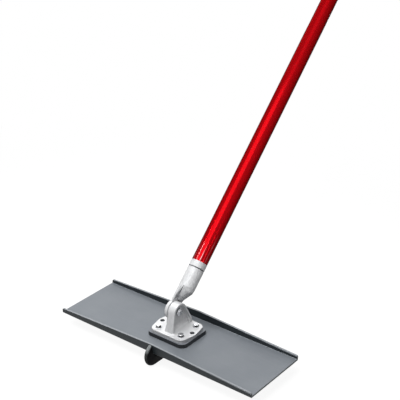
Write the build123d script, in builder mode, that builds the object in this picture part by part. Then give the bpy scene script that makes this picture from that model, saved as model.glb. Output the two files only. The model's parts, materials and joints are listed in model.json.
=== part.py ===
from build123d import *
import os
from math import asin, atan2, cos, hypot, radians, sin, sqrt, tan

# Concrete walking groover: a long flat blade with turned-up lips slides on wet concrete, the keel of a
# groove bit below it cuts the joint, and a long tube handle tilts on a cast swivel bracket.
# Millimetres, +Z up. X runs along the blade, -Y is the front, and the handle leans back towards +Y.
# The origin is the middle of the blade's flat underside.

# Blade
blade_length = 635.0
blade_width = 206.0
blade_thickness = 4.8
lip_height_end = 14.4
lip_height_middle = 26.4
lip_lean = 2.0
lip_corner_radius = 4.0
fold_inner_radius = 1.5
fold_outer_radius = 3.5

# Groove bit
bit_depth = 41.1
bit_keel_radius = 6.0
bit_flank_draft = 9.5
bit_nose_radius = 34.0
bit_nose_reach = 21.5
bit_shoulder_radius = 6.0
bit_foot_depth = 0.6
bit_lip_gap = 0.2

# Countersunk screws that hold the bit to the blade
bit_screw_radius = 2.5
bit_screw_head_radius = 4.6
bit_screw_length = 18.0
bit_screw_spacing = 34.0

# Raised pad between the blade and the bracket
pad_length = 127.0
pad_width = 109.0
pad_height = 11.0
pad_corner_radius = 18.0
pad_draft = 5.0
bracket_setback = 6.0

# Countersunk screws that hold the pad to the blade
pad_screw_radius = 3.0
pad_screw_head_radius = 5.6
pad_screw_spacing_x = 52.0
pad_screw_spacing_y = 80.0
pad_screw_end_gap = 0.3

# Bracket base plate and its bolts, with margins from the holes' centres to the plate's edge
plate_thickness = 9.0
plate_bolt_margin = 17.9
plate_lobe_margin = 11.6
plate_edge_radius = 1.0
bolt_spacing_x = 76.2
bolt_spacing_y = 62.5
spare_hole_spacing = 101.6
spare_hole_radius = 6.35
bolt_radius = 4.75
bolt_hex = 14.3
bolt_head_height = 6.0
bolt_engagement = 8.5
washer_radius = 9.2
washer_thickness = 1.6
thread_clearance = 0.1
bolt_clearance = 0.4
hex_chamfer = 0.7

# Hooded ear on the bracket base
pivot_height = 77.0
ear_lap_x = -7.0
ear_thickness = 23.5
ear_head_radius = 25.0
ear_front_foot = 33.0
ear_back_foot = 49.5
ear_back_rise = 13.0
ear_web = 8.5
ear_rim = 5.0
ear_edge_radius = 1.5
ear_foot_radius = 4.5
ear_skirt_rise = 24.0
ear_skirt_reach = 5.5
hood_floor_radius = 13.0

# Pivot bolt through the ear and the tongue
pivot_bolt_radius = 6.35
pivot_hex = 19.05
pivot_head_height = 5.5
pivot_head_recess = 5.5
pivot_recess_gap = 0.6
pivot_nut_height = 10.9
pivot_bolt_end = 2.0
pivot_washer_radius = 12.5
pivot_washer_thickness = 2.4
lock_washer_radius = 10.6
lock_washer_thickness = 3.0
lock_washer_slit = 1.6
pivot_clearance = 0.08

# Swivel socket, with distances along the handle from the pivot
handle_tilt = 44.6
socket_radius = 22.2
socket_mouth = 123.0
tongue_thickness = 10.0
tongue_end_radius = 25.0
tongue_flat_end = 20.0
tongue_flat_run = 24.0
ear_head_gap = 1.0
gusset_tip = 28.2
gusset_shoulder = 57.0
gusset_top = 68.0
gusset_tip_x = -4.0
gusset_tip_width = 14.0
gusset_tip_depth = 18.0
gusset_shoulder_inset = 0.3
gusset_shoulder_width = 41.0
gusset_shoulder_depth = 34.0
gusset_ridge_x = 2.0
mouth_chamfer = 0.8

# Handle adapter, tube and end cap
adapter_stub_radius = 15.9
adapter_stub_length = 40.0
adapter_bore_floor = 4.0
collar_radius = 22.4
collar_length = 19.5
seam_height = 1.4
seam_depth = 2.4
spigot_length = 75.0
spigot_wall = 3.4
tube_radius = 22.225
tube_wall = 1.65
tube_length = 1524.0
tube_fit = 0.1
cap_plug_length = 28.0
cap_head_height = 4.0
cap_edge_radius = 1.8

# Snap button that holds the tube on the adapter
button_station = 25.0
button_clocking = 197.0
button_radius = 4.75
button_rise = 4.5
button_dome_radius = 3.2
button_flange_radius = 6.5
button_flange_thickness = 1.5
button_gap = 0.3
spring_thickness = 0.8
spring_width = 8.0
spring_arm = 25.0
spring_heel = 5.0

# Derived places
pad_top = blade_thickness + pad_height
plate_top = pad_top + plate_thickness
lip_wall = blade_thickness / cos(radians(lip_lean))
flank = radians(bit_flank_draft)
nose_y = blade_width / 2 + bit_nose_reach - bit_nose_radius
nose_z = bit_nose_radius - bit_depth
keel_touch_x = bit_keel_radius * cos(flank)
keel_touch_rise = bit_keel_radius * (1 - sin(flank))
bit_screw_rows = [bracket_setback + i * bit_screw_spacing for i in (-1, 0, 1)]
web_face_x = ear_lap_x + ear_web
tongue_flat_x = ear_lap_x - tongue_thickness
pivot_head_x = tongue_flat_x + pivot_head_recess - pivot_washer_thickness
pivot_nut_x = web_face_x + lock_washer_thickness
tube_start = socket_mouth + collar_length
tube_end = tube_start + tube_length
tube_bore = tube_radius - tube_wall
spigot_radius = tube_bore - tube_fit
spigot_bore = spigot_radius - spigot_wall

# Planes: the bracket's own level, the handle's cross-sections, and its side view with X across
pivot = Vector(0, 0, pivot_height)
handle_direction = Vector(0, cos(radians(handle_tilt)), sin(radians(handle_tilt)))
handle_upper_side = Vector(0, -sin(radians(handle_tilt)), cos(radians(handle_tilt)))
handle_plane = Plane(pivot, x_dir=(1, 0, 0), z_dir=handle_direction)
lap_view = Plane(pivot, x_dir=(1, 0, 0), z_dir=handle_upper_side)
pivot_view = Plane(pivot, x_dir=handle_direction, z_dir=(1, 0, 0))
button_direction = handle_upper_side.rotate(Axis((0, 0, 0), handle_direction), button_clocking)
button_centre = pivot + handle_direction * (tube_start + button_station)
button_plane = Plane(button_centre, x_dir=handle_direction, z_dir=button_direction)
spring_plane = Plane(button_centre, x_dir=handle_direction, z_dir=handle_direction.cross(button_direction))


def bracket_level(height):
    """Level plane at a height, centred on the bracket."""
    return Plane((0, bracket_setback, height))


def bracket_corners(spacing_x, spacing_y, height):
    """Four places in a rectangle about the bracket's middle, at a height above the sole."""
    return [
        (side_x * spacing_x / 2, bracket_setback + side_y * spacing_y / 2, height)
        for side_x in (-1, 1)
        for side_y in (-1, 1)
    ]


def lip_reach(height):
    """Distance of a lip's outer face from the blade's middle plane, at a height above the sole."""
    return blade_width / 2 + height * tan(radians(lip_lean))


def flank_half_width(depth):
    """Half the bit's width at a depth below the sole, on the straight flank."""
    return bit_keel_radius / cos(flank) + (bit_depth - bit_keel_radius - depth) * tan(flank)


def touch_point(foot, radius, side):
    """Point where a straight side from a foot on the base plate touches the ear's round head."""
    across = -foot[0]
    rise = pivot_height - foot[1]
    distance = hypot(across, rise)
    slope = atan2(rise, across) + side * asin(radius / distance)
    run = sqrt(distance**2 - radius**2)
    return (foot[0] + run * cos(slope), foot[1] + run * sin(slope))


def ear_corners(inset):
    """Side view of the ear, set in by a wall: front foot and touch, crown, back touch, knee and foot."""
    radius = ear_head_radius - inset
    front = (-ear_front_foot + inset, plate_top)
    back = (ear_back_foot - inset, plate_top)
    knee = (back[0], plate_top + ear_back_rise)
    crown = (0, pivot_height + radius)
    return front, touch_point(front, radius, 1), crown, touch_point(knee, radius, -1), knee, back


os.makedirs("parts", exist_ok=True)

# Blade: a folded plate whose lips are tallest in the middle and fall straight to the ends
with BuildPart() as blade:
    with BuildSketch(Plane.YZ):
        with BuildLine():
            outside = FilletPolyline(
                (-lip_reach(lip_height_middle), lip_height_middle),
                (-lip_reach(0), 0),
                (lip_reach(0), 0),
                (lip_reach(lip_height_middle), lip_height_middle),
                radius=fold_outer_radius,
            )
            Line(outside @ 1, outside @ 0)
        make_face()
        with BuildLine():
            inside = FilletPolyline(
                (-lip_reach(lip_height_middle) + lip_wall, lip_height_middle),
                (-lip_reach(blade_thickness) + lip_wall, blade_thickness),
                (lip_reach(blade_thickness) - lip_wall, blade_thickness),
                (lip_reach(lip_height_middle) - lip_wall, lip_height_middle),
                radius=fold_inner_radius,
            )
            Line(inside @ 1, inside @ 0)
        make_face(mode=Mode.SUBTRACT)
    extrude(amount=blade_length / 2, both=True)
    with BuildSketch(Plane.XZ):
        with BuildLine():
            Polyline(
                (-blade_length / 2, lip_height_end),
                (0, lip_height_middle),
                (blade_length / 2, lip_height_end),
                (blade_length / 2, 2 * lip_height_middle),
                (-blade_length / 2, 2 * lip_height_middle),
                close=True,
            )
        make_face()
    extrude(amount=lip_reach(lip_height_middle), both=True, mode=Mode.SUBTRACT)
    lip_corners = blade.edges().filter_by(Axis.Y).filter_by_position(Axis.Z, lip_height_end, lip_height_end)
    fillet(lip_corners, lip_corner_radius)
    # A shallow slot across the sole takes the foot of the bit, so that the two run flush
    with BuildSketch(Plane.XY):
        Rectangle(2 * (flank_half_width(0) + bit_shoulder_radius), 2 * lip_reach(0))
    extrude(amount=bit_foot_depth, mode=Mode.SUBTRACT)
    with Locations([(0, row, blade_thickness) for row in bit_screw_rows]):
        CounterSinkHole(
            bit_screw_radius + thread_clearance,
            bit_screw_head_radius + thread_clearance,
            counter_sink_angle=90,
        )
    with Locations(bracket_corners(pad_screw_spacing_x, pad_screw_spacing_y, blade_thickness)):
        Hole(pad_screw_radius + thread_clearance)
blade.part.label = "blade"
export_step(blade.part, "parts/blade.step")

# Groove bit: a keel of tapered section whose round noses sweep up in front of both lips
with BuildPart() as groove_bit:
    for side in (-1, 1):
        nose_centre = (0, side * nose_y, nose_z)
        with BuildSketch(Plane(nose_centre, x_dir=(1, 0, 0), z_dir=(0, 1, 0))):
            with BuildLine():
                rim_touch = bit_nose_radius - keel_touch_rise
                hub = flank_half_width(-nose_z)
                rim = ThreePointArc(
                    (keel_touch_x, rim_touch),
                    (0, bit_nose_radius),
                    (-keel_touch_x, rim_touch),
                )
                Polyline(rim @ 1, (-hub, 0), (hub, 0), rim @ 0)
            make_face()
        revolve(axis=Axis(nose_centre, (1, 0, 0)))
    # The noses stop at the outside of the folded blade
    with BuildSketch(Plane.YZ):
        with BuildLine():
            head_room = max(lip_height_middle, nose_z + bit_nose_radius) + blade_thickness
            around = FilletPolyline(
                (-lip_reach(head_room) - bit_lip_gap, head_room),
                (-lip_reach(0) - bit_lip_gap, 0),
                (lip_reach(0) + bit_lip_gap, 0),
                (lip_reach(head_room) + bit_lip_gap, head_room),
                radius=fold_outer_radius + bit_lip_gap,
            )
            Line(around @ 1, around @ 0)
        make_face()
    extrude(amount=2 * flank_half_width(0), both=True, mode=Mode.SUBTRACT)
    # The straight keel flares out to a foot, which rounds the shoulders of the groove
    with BuildSketch(Plane.XZ):
        with BuildLine():
            root = flank_half_width(0)
            foot = root + bit_shoulder_radius
            keel_touch_z = keel_touch_rise - bit_depth
            right = FilletPolyline(
                (foot, 0),
                (root, 0),
                (keel_touch_x, keel_touch_z),
                radius=bit_shoulder_radius,
            )
            left = FilletPolyline(
                (-foot, 0),
                (-root, 0),
                (-keel_touch_x, keel_touch_z),
                radius=bit_shoulder_radius,
            )
            ThreePointArc(right @ 1, (0, -bit_depth), left @ 1)
            Polyline(right @ 0, (foot, bit_foot_depth), (-foot, bit_foot_depth), left @ 0)
        make_face()
    extrude(amount=nose_y, both=True)
    with Locations([(0, row, bit_foot_depth) for row in bit_screw_rows]):
        Hole(bit_screw_radius + thread_clearance, depth=bit_screw_length)
groove_bit.part.label = "groove_bit"
export_step(groove_bit.part, "parts/groove_bit.step")

for index, row in enumerate(bit_screw_rows, start=1):
    with BuildPart() as bit_screw:
        with BuildSketch(Plane((0, row, blade_thickness), x_dir=(1, 0, 0), z_dir=(0, -1, 0))):
            with BuildLine():
                Polyline(
                    (0, 0),
                    (bit_screw_head_radius, 0),
                    (bit_screw_radius, bit_screw_radius - bit_screw_head_radius),
                    (bit_screw_radius, -bit_screw_length),
                    (0, -bit_screw_length),
                    close=True,
                )
            make_face()
        revolve(axis=Axis((0, row, 0), (0, 0, 1)))
    bit_screw.part.label = f"bit_screw_{index}"
    export_step(bit_screw.part, f"parts/bit_screw_{index}.step")

# Mounting pad: a block with drafted sides, tapped for the bracket bolts
with BuildPart() as mounting_pad:
    with BuildSketch(bracket_level(blade_thickness)):
        RectangleRounded(pad_length, pad_width, pad_corner_radius)
    extrude(amount=pad_height, taper=pad_draft)
    with Locations(bracket_corners(bolt_spacing_x, bolt_spacing_y, pad_top)):
        Hole(bolt_radius + thread_clearance, depth=bolt_engagement + thread_clearance)
    with Locations(bracket_corners(pad_screw_spacing_x, pad_screw_spacing_y, pad_top)):
        CounterSinkHole(
            pad_screw_radius + thread_clearance,
            pad_screw_head_radius + thread_clearance,
            counter_sink_angle=90,
        )
mounting_pad.part.label = "mounting_pad"
export_step(mounting_pad.part, "parts/mounting_pad.step")

for index, head in enumerate(bracket_corners(pad_screw_spacing_x, pad_screw_spacing_y, pad_top), start=1):
    with BuildPart() as pad_screw:
        with BuildSketch(Plane(head, x_dir=(1, 0, 0), z_dir=(0, -1, 0))):
            with BuildLine():
                tip = pad_screw_end_gap - pad_top
                Polyline(
                    (0, 0),
                    (pad_screw_head_radius, 0),
                    (pad_screw_radius, pad_screw_radius - pad_screw_head_radius),
                    (pad_screw_radius, tip),
                    (0, tip),
                    close=True,
                )
            make_face()
        revolve(axis=Axis(head, (0, 0, 1)))
    pad_screw.part.label = f"pad_screw_{index}"
    export_step(pad_screw.part, f"parts/pad_screw_{index}.step")

# Skirt that thickens the foot of the ear on the tongue's side, clear below the tongue
with BuildPart() as ear_skirt:
    with BuildSketch(Plane.YZ.offset(ear_lap_x)):
        with BuildLine():
            front, front_touch, crown, back_touch, knee, back = ear_corners(ear_edge_radius)
            ThreePointArc(front_touch, crown, back_touch)
            Polyline(back_touch, knee, back, front, front_touch)
        make_face()
    extrude(amount=-ear_skirt_reach)
    with BuildSketch(Plane.XZ):
        with BuildLine():
            Polyline(
                (ear_lap_x, plate_top + ear_skirt_rise),
                (ear_lap_x - ear_skirt_reach, plate_top),
                (ear_lap_x - ear_skirt_reach, 2 * pivot_height),
                (ear_lap_x, 2 * pivot_height),
                close=True,
            )
        make_face()
    extrude(amount=ear_front_foot + ear_back_foot, both=True, mode=Mode.SUBTRACT)

# Bracket base: a plate drawn round its six holes, with a hooded ear that is open on one side
with BuildPart() as bracket_base:
    with BuildSketch(bracket_level(pad_top)):
        with GridLocations(bolt_spacing_x, bolt_spacing_y, 2, 2):
            Circle(plate_bolt_margin)
        with GridLocations(spare_hole_spacing, 0, 2, 1):
            Circle(plate_lobe_margin)
        make_hull()
    extrude(amount=plate_thickness)
    fillet(bracket_base.faces().sort_by(Axis.Z)[-1].edges(), plate_edge_radius)
    with BuildSketch(Plane.YZ.offset(ear_lap_x)):
        with BuildLine():
            front, front_touch, crown, back_touch, knee, back = ear_corners(0)
            ThreePointArc(front_touch, crown, back_touch)
            Polyline(back_touch, knee, back, front, front_touch)
        make_face()
    extrude(amount=ear_thickness)
    ear_sides = bracket_base.faces(Select.LAST).filter_by(Axis.X)
    ear_top = pivot_height + ear_head_radius
    ear_edges = ear_sides.edges().filter_by_position(Axis.Z, plate_top, ear_top, (False, True))
    fillet(ear_edges, ear_edge_radius)
    ear_foot = bracket_base.edges().filter_by_position(Axis.Z, plate_top, plate_top)
    ear_foot = ear_foot.filter_by_position(Axis.Y, -ear_front_foot, ear_back_foot)
    ear_foot = ear_foot.filter_by_position(Axis.X, ear_lap_x, ear_lap_x + ear_thickness)
    fillet(ear_foot, ear_foot_radius)
    add(ear_skirt.part)
    with BuildSketch(Plane.YZ.offset(web_face_x)):
        with BuildLine():
            front, front_touch, crown, back_touch, knee, back = ear_corners(ear_rim)
            ThreePointArc(front_touch, crown, back_touch)
            Polyline(back_touch, knee, back, front, front_touch)
        make_face()
    extrude(amount=ear_thickness + ear_foot_radius, mode=Mode.SUBTRACT)
    hood_floor_edge = bracket_base.edges(Select.LAST).filter_by(Axis.Y).sort_by(Axis.X)[0]
    fillet(hood_floor_edge, hood_floor_radius)
    with Locations(bracket_corners(bolt_spacing_x, bolt_spacing_y, plate_top)):
        Hole(bolt_radius + bolt_clearance)
    with Locations(bracket_level(plate_top)):
        with GridLocations(spare_hole_spacing, 0, 2, 1):
            Hole(spare_hole_radius)
    with BuildSketch(Plane.YZ.offset(ear_lap_x)):
        with Locations((0, pivot_height)):
            Circle(pivot_bolt_radius + pivot_clearance)
    extrude(amount=ear_web, mode=Mode.SUBTRACT)
bracket_base.part.label = "bracket_base"
export_step(bracket_base.part, "parts/bracket_base.step")

# Each bracket bolt clamps a washer on the plate and screws into the pad
for index, seat in enumerate(bracket_corners(bolt_spacing_x, bolt_spacing_y, plate_top), start=1):
    washer_plane = Plane(seat)
    head_plane = washer_plane.offset(washer_thickness)
    with BuildPart() as bracket_washer:
        with BuildSketch(washer_plane):
            Circle(washer_radius)
            Circle(bolt_radius + bolt_clearance, mode=Mode.SUBTRACT)
        extrude(amount=washer_thickness)
    bracket_washer.part.label = f"bracket_washer_{index}"
    export_step(bracket_washer.part, f"parts/bracket_washer_{index}.step")

    with BuildPart() as bracket_bolt:
        with BuildSketch(head_plane):
            RegularPolygon(bolt_hex / 2, 6, major_radius=False)
        extrude(amount=bolt_head_height)
        chamfer(bracket_bolt.faces().sort_by(Axis.Z)[-1].edges(), hex_chamfer)
        with BuildSketch(head_plane):
            Circle(bolt_radius)
        extrude(amount=-(washer_thickness + plate_thickness + bolt_engagement))
    bracket_bolt.part.label = f"bracket_bolt_{index}"
    export_step(bracket_bolt.part, f"parts/bracket_bolt_{index}.step")

# Pivot hardware, stacked along X through the tongue and the ear
with BuildPart() as pivot_bolt:
    with BuildSketch(Plane.YZ.offset(pivot_head_x)):
        with Locations((0, pivot_height)):
            RegularPolygon(pivot_hex / 2, 6, major_radius=False)
    extrude(amount=-pivot_head_height)
    chamfer(pivot_bolt.faces().sort_by(Axis.X)[0].edges(), hex_chamfer)
    with BuildSketch(Plane.YZ.offset(pivot_head_x)):
        with Locations((0, pivot_height)):
            Circle(pivot_bolt_radius)
    extrude(amount=pivot_nut_x + pivot_nut_height + pivot_bolt_end - pivot_head_x)
    chamfer(pivot_bolt.faces().sort_by(Axis.X)[-1].edges(), hex_chamfer)
pivot_bolt.part.label = "pivot_bolt"
export_step(pivot_bolt.part, "parts/pivot_bolt.step")

with BuildPart() as pivot_washer:
    with BuildSketch(Plane.YZ.offset(pivot_head_x)):
        with Locations((0, pivot_height)):
            Circle(pivot_washer_radius)
            Circle(pivot_bolt_radius + bolt_clearance, mode=Mode.SUBTRACT)
    extrude(amount=pivot_washer_thickness)
pivot_washer.part.label = "pivot_washer"
export_step(pivot_washer.part, "parts/pivot_washer.step")

with BuildPart() as pivot_lock_washer:
    with BuildSketch(Plane.YZ.offset(web_face_x)):
        with Locations((0, pivot_height)):
            Circle(lock_washer_radius)
            Circle(pivot_bolt_radius + bolt_clearance, mode=Mode.SUBTRACT)
        with Locations((0, pivot_height + lock_washer_radius)):
            Rectangle(lock_washer_slit, 2 * (lock_washer_radius - pivot_bolt_radius), mode=Mode.SUBTRACT)
    extrude(amount=lock_washer_thickness)
pivot_lock_washer.part.label = "pivot_lock_washer"
export_step(pivot_lock_washer.part, "parts/pivot_lock_washer.step")

with BuildPart() as pivot_nut:
    with BuildSketch(Plane.YZ.offset(pivot_nut_x)):
        with Locations((0, pivot_height)):
            RegularPolygon(pivot_hex / 2, 6, major_radius=False)
            Circle(pivot_bolt_radius + thread_clearance, mode=Mode.SUBTRACT)
    extrude(amount=pivot_nut_height)
    outer_corners = pivot_nut.faces().sort_by(Axis.X)[-1].outer_wire().edges()
    chamfer(outer_corners, hex_chamfer)
pivot_nut.part.label = "pivot_nut"
export_step(pivot_nut.part, "parts/pivot_nut.step")

# Swivel socket: a round stem cut down to a tongue that laps the ear, with a tapering gusset between
with BuildPart() as swivel_socket:
    with BuildSketch(handle_plane):
        Circle(socket_radius)
    extrude(amount=socket_mouth)
    with BuildSketch(lap_view):
        with BuildLine():
            Polyline(
                (ear_lap_x, -2 * socket_radius),
                (ear_lap_x, gusset_tip),
                (gusset_ridge_x, gusset_top),
                (2 * socket_radius, gusset_top),
                (2 * socket_radius, -2 * socket_radius),
                close=True,
            )
        make_face()
        with BuildLine():
            Polyline(
                (tongue_flat_x, -2 * socket_radius),
                (tongue_flat_x, tongue_flat_end),
                (-2 * socket_radius, tongue_flat_end + tongue_flat_run),
                (-2 * socket_radius, -2 * socket_radius),
                close=True,
            )
        make_face()
    extrude(amount=2 * socket_radius, both=True, mode=Mode.SUBTRACT)
    # The tongue ends in a round eye about the pivot, as large as the ear's head
    with BuildSketch(pivot_view.offset(tongue_flat_x)):
        Circle(tongue_end_radius)
    extrude(amount=tongue_thickness)
    with BuildSketch(handle_plane.offset(gusset_top)):
        Circle(socket_radius)
    with BuildSketch(handle_plane.offset(gusset_shoulder)):
        with Locations((socket_radius - gusset_shoulder_inset - gusset_shoulder_width / 2, 0)):
            Ellipse(gusset_shoulder_width / 2, gusset_shoulder_depth / 2)
    with BuildSketch(handle_plane.offset(gusset_tip)):
        with Locations((gusset_tip_x, 0)):
            Ellipse(gusset_tip_width / 2, gusset_tip_depth / 2)
    loft(ruled=True)
    # Room for the ear's head to turn past the gusset
    with BuildSketch(Plane(pivot + Vector(ear_lap_x, 0, 0), x_dir=(0, 1, 0), z_dir=(1, 0, 0))):
        Circle(ear_head_radius + ear_head_gap)
    extrude(amount=2 * socket_radius, mode=Mode.SUBTRACT)
    with BuildSketch(handle_plane.offset(socket_mouth)):
        Circle(adapter_stub_radius + tube_fit)
    extrude(amount=-(adapter_stub_length + adapter_bore_floor), mode=Mode.SUBTRACT)
    mouth_face = swivel_socket.faces().sort_by(Axis((0, 0, 0), handle_direction))[-1]
    chamfer(mouth_face.outer_wire().edges(), mouth_chamfer)
    with BuildSketch(pivot_view):
        Circle(pivot_bolt_radius + pivot_clearance)
    extrude(amount=2 * socket_radius, both=True, mode=Mode.SUBTRACT)
    with BuildSketch(pivot_view.offset(tongue_flat_x)):
        Circle(pivot_washer_radius + pivot_recess_gap)
    extrude(amount=pivot_head_recess, mode=Mode.SUBTRACT)
swivel_socket.part.label = "swivel_socket"
export_step(swivel_socket.part, "parts/swivel_socket.step")

# Handle adapter: a stub screwed into the socket, a collar, and a hollow spigot inside the tube
with BuildPart() as handle_adapter:
    with BuildSketch(handle_plane.offset(tube_start)):
        Circle(collar_radius)
    extrude(amount=seam_height - collar_length)
    chamfer(handle_adapter.faces().filter_by(GeomType.PLANE).edges(), mouth_chamfer)
    # A narrower neck leaves a seam between the collar and the socket
    with BuildSketch(handle_plane.offset(socket_mouth)):
        Circle(collar_radius - seam_depth)
    extrude(amount=seam_height)
    with BuildSketch(handle_plane.offset(socket_mouth)):
        Circle(adapter_stub_radius)
    extrude(amount=-adapter_stub_length)
    with BuildSketch(handle_plane.offset(tube_start)):
        Circle(spigot_radius)
    extrude(amount=spigot_length)
    with BuildSketch(handle_plane.offset(tube_start + spigot_length)):
        Circle(spigot_bore)
    extrude(amount=-spigot_length, mode=Mode.SUBTRACT)
    with BuildSketch(button_plane):
        Circle(button_radius + button_gap)
    extrude(amount=tube_radius, mode=Mode.SUBTRACT)
handle_adapter.part.label = "handle_adapter"
export_step(handle_adapter.part, "parts/handle_adapter.step")

with BuildPart() as handle_tube:
    with BuildSketch(handle_plane.offset(tube_start)):
        Circle(tube_radius)
        Circle(tube_bore, mode=Mode.SUBTRACT)
    extrude(amount=tube_length)
    with BuildSketch(button_plane):
        Circle(button_radius + button_gap)
    extrude(amount=2 * tube_radius, mode=Mode.SUBTRACT)
handle_tube.part.label = "handle_tube"
export_step(handle_tube.part, "parts/handle_tube.step")

with BuildPart() as end_cap:
    with BuildSketch(handle_plane.offset(tube_end - cap_plug_length)):
        Circle(spigot_radius)
    extrude(amount=cap_plug_length)
    with BuildSketch(handle_plane.offset(tube_end)):
        Circle(tube_radius)
    extrude(amount=cap_head_height)
    cap_top = end_cap.faces().sort_by(Axis((0, 0, 0), handle_direction))[-1]
    fillet(cap_top.edges(), cap_edge_radius)
end_cap.part.label = "end_cap"
export_step(end_cap.part, "parts/end_cap.step")

# Snap button: a domed pin through the tube wall, on a flange held up by a bent leaf spring
flange_top = sqrt(spigot_bore**2 - button_flange_radius**2) - button_gap
flange_base = flange_top - button_flange_thickness
with BuildPart() as snap_button:
    with BuildSketch(button_plane.offset(flange_base)):
        Circle(button_flange_radius)
    extrude(amount=button_flange_thickness)
    with BuildSketch(button_plane.offset(flange_base)):
        Circle(button_radius)
    extrude(amount=tube_radius + button_rise - flange_base)
    dome_edge = snap_button.faces().sort_by(Axis((0, 0, 0), button_direction))[-1].edges()
    fillet(dome_edge, button_dome_radius)
snap_button.part.label = "snap_button"
export_step(snap_button.part, "parts/snap_button.step")

spring_seat = button_gap - sqrt(spigot_bore**2 - (spring_width / 2) ** 2)
with BuildPart() as button_spring:
    with BuildSketch(spring_plane):
        with BuildLine():
            upper = flange_base - spring_thickness / 2
            lower = spring_seat + spring_thickness / 2
            bend = (spring_arm + (upper - lower) / 2, (upper + lower) / 2)
            Line((-spring_heel, upper), (spring_arm, upper))
            ThreePointArc((spring_arm, upper), bend, (spring_arm, lower))
            Line((spring_arm, lower), (-spring_heel, lower))
        trace(line_width=spring_thickness)
    extrude(amount=spring_width / 2, both=True)
button_spring.part.label = "button_spring"
export_step(button_spring.part, "parts/button_spring.step")
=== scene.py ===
import json
import logging
import math
from abc import ABC, abstractmethod
from dataclasses import dataclass, replace
from enum import Enum
from typing import Any, Optional, Union

import bmesh
import bpy
from mathutils import Matrix, Vector


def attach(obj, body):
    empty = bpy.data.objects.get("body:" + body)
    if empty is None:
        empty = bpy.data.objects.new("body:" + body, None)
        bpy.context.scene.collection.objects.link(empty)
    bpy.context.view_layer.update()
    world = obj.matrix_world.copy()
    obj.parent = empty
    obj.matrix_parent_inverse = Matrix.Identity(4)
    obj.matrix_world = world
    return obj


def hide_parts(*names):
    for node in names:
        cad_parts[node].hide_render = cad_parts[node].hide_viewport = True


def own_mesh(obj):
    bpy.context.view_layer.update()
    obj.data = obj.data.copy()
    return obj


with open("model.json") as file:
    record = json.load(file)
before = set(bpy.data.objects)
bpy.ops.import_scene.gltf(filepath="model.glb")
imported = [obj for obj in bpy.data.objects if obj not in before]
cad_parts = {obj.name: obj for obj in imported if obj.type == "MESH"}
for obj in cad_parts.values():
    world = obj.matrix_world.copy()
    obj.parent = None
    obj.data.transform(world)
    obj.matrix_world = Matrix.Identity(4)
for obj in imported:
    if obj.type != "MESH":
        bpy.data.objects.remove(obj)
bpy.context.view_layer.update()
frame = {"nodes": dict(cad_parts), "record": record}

LOG = logging.getLogger("groover")
MM = 0.001

Number = Union[int, float]
Operand = Union["Reading", Number]
Triple = tuple[float, float, float]
Colour = Triple
Band = tuple[float, float]


class Body(str, Enum):
    """The bodies that the scene's own pieces ride on."""

    HEAD = "groover_head"
    HANDLE = "handle"


class Slot(str, Enum):
    """The record's material slots for the scene's own pieces; the script does not use them."""

    ZINC = "zinc_steel"
    SPRING = "spring_steel"


def opaque(colour: Colour) -> tuple[float, float, float, float]:
    """Give a colour full alpha."""
    return (*colour, 1.0)


def grey(level: float) -> Colour:
    """A colour of three equal parts."""
    return (level, level, level)


class Reading:
    """A number that varies over a surface; arithmetic on it adds Math nodes."""

    def __init__(self, maker: "TreeMaker", socket: bpy.types.NodeSocket) -> None:
        """Wrap a socket of a maker's tree."""
        self.maker = maker
        self.socket = socket

    def _math(self, operation: str, *operands: Operand) -> "Reading":
        """Add one Math node.

        Args:
            operation: Blender's name of the operation.
            operands: Readings or numbers, in the node's order.

        Returns:
            The node's result.
        """
        node = self.maker.node("ShaderNodeMath", {"operation": operation}, dict(enumerate(operands)))
        return Reading(self.maker, node.outputs[0])

    def __add__(self, other: Operand) -> "Reading":
        """Sum."""
        return self._math("ADD", self, other)

    __radd__ = __add__

    def __sub__(self, other: Operand) -> "Reading":
        """Difference."""
        return self._math("SUBTRACT", self, other)

    def __rsub__(self, other: Operand) -> "Reading":
        """Difference from a number."""
        return self._math("SUBTRACT", other, self)

    def __mul__(self, other: Operand) -> "Reading":
        """Product."""
        return self._math("MULTIPLY", self, other)

    def __truediv__(self, other: Operand) -> "Reading":
        """Quotient."""
        return self._math("DIVIDE", self, other)

    def __neg__(self) -> "Reading":
        """Opposite."""
        return self._math("MULTIPLY", self, -1.0)

    def __abs__(self) -> "Reading":
        """Size without sign."""
        return self._math("ABSOLUTE", self)

    def at_least(self, other: Operand) -> "Reading":
        """The larger of two."""
        return self._math("MAXIMUM", self, other)

    def around(self, middle: Number, swing: Number) -> "Reading":
        """Spread a noise from 0 to 1 evenly about a number."""
        return middle + (self - 0.5) * swing

    def between(self, low: Number, high: Number) -> "Reading":
        """Turn a mask from 0 to 1 into a number between two others."""
        return low + self * (high - low)

    def fade(self, low: Number, high: Number) -> "Reading":
        """Smooth step.

        Args:
            low: Where the result is 0.
            high: Where the result is 1; it may be the smaller of the two.

        Returns:
            A mask from 0 to 1.
        """
        rising = high > low
        node = self.maker.node(
            "ShaderNodeMapRange",
            {"interpolation_type": "SMOOTHSTEP"},
            {
                "Value": self,
                "From Min": min(low, high),
                "From Max": max(low, high),
                "To Min": 0.0 if rising else 1.0,
                "To Max": 1.0 if rising else 0.0,
            },
        )
        return Reading(self.maker, node.outputs[0])


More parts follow.
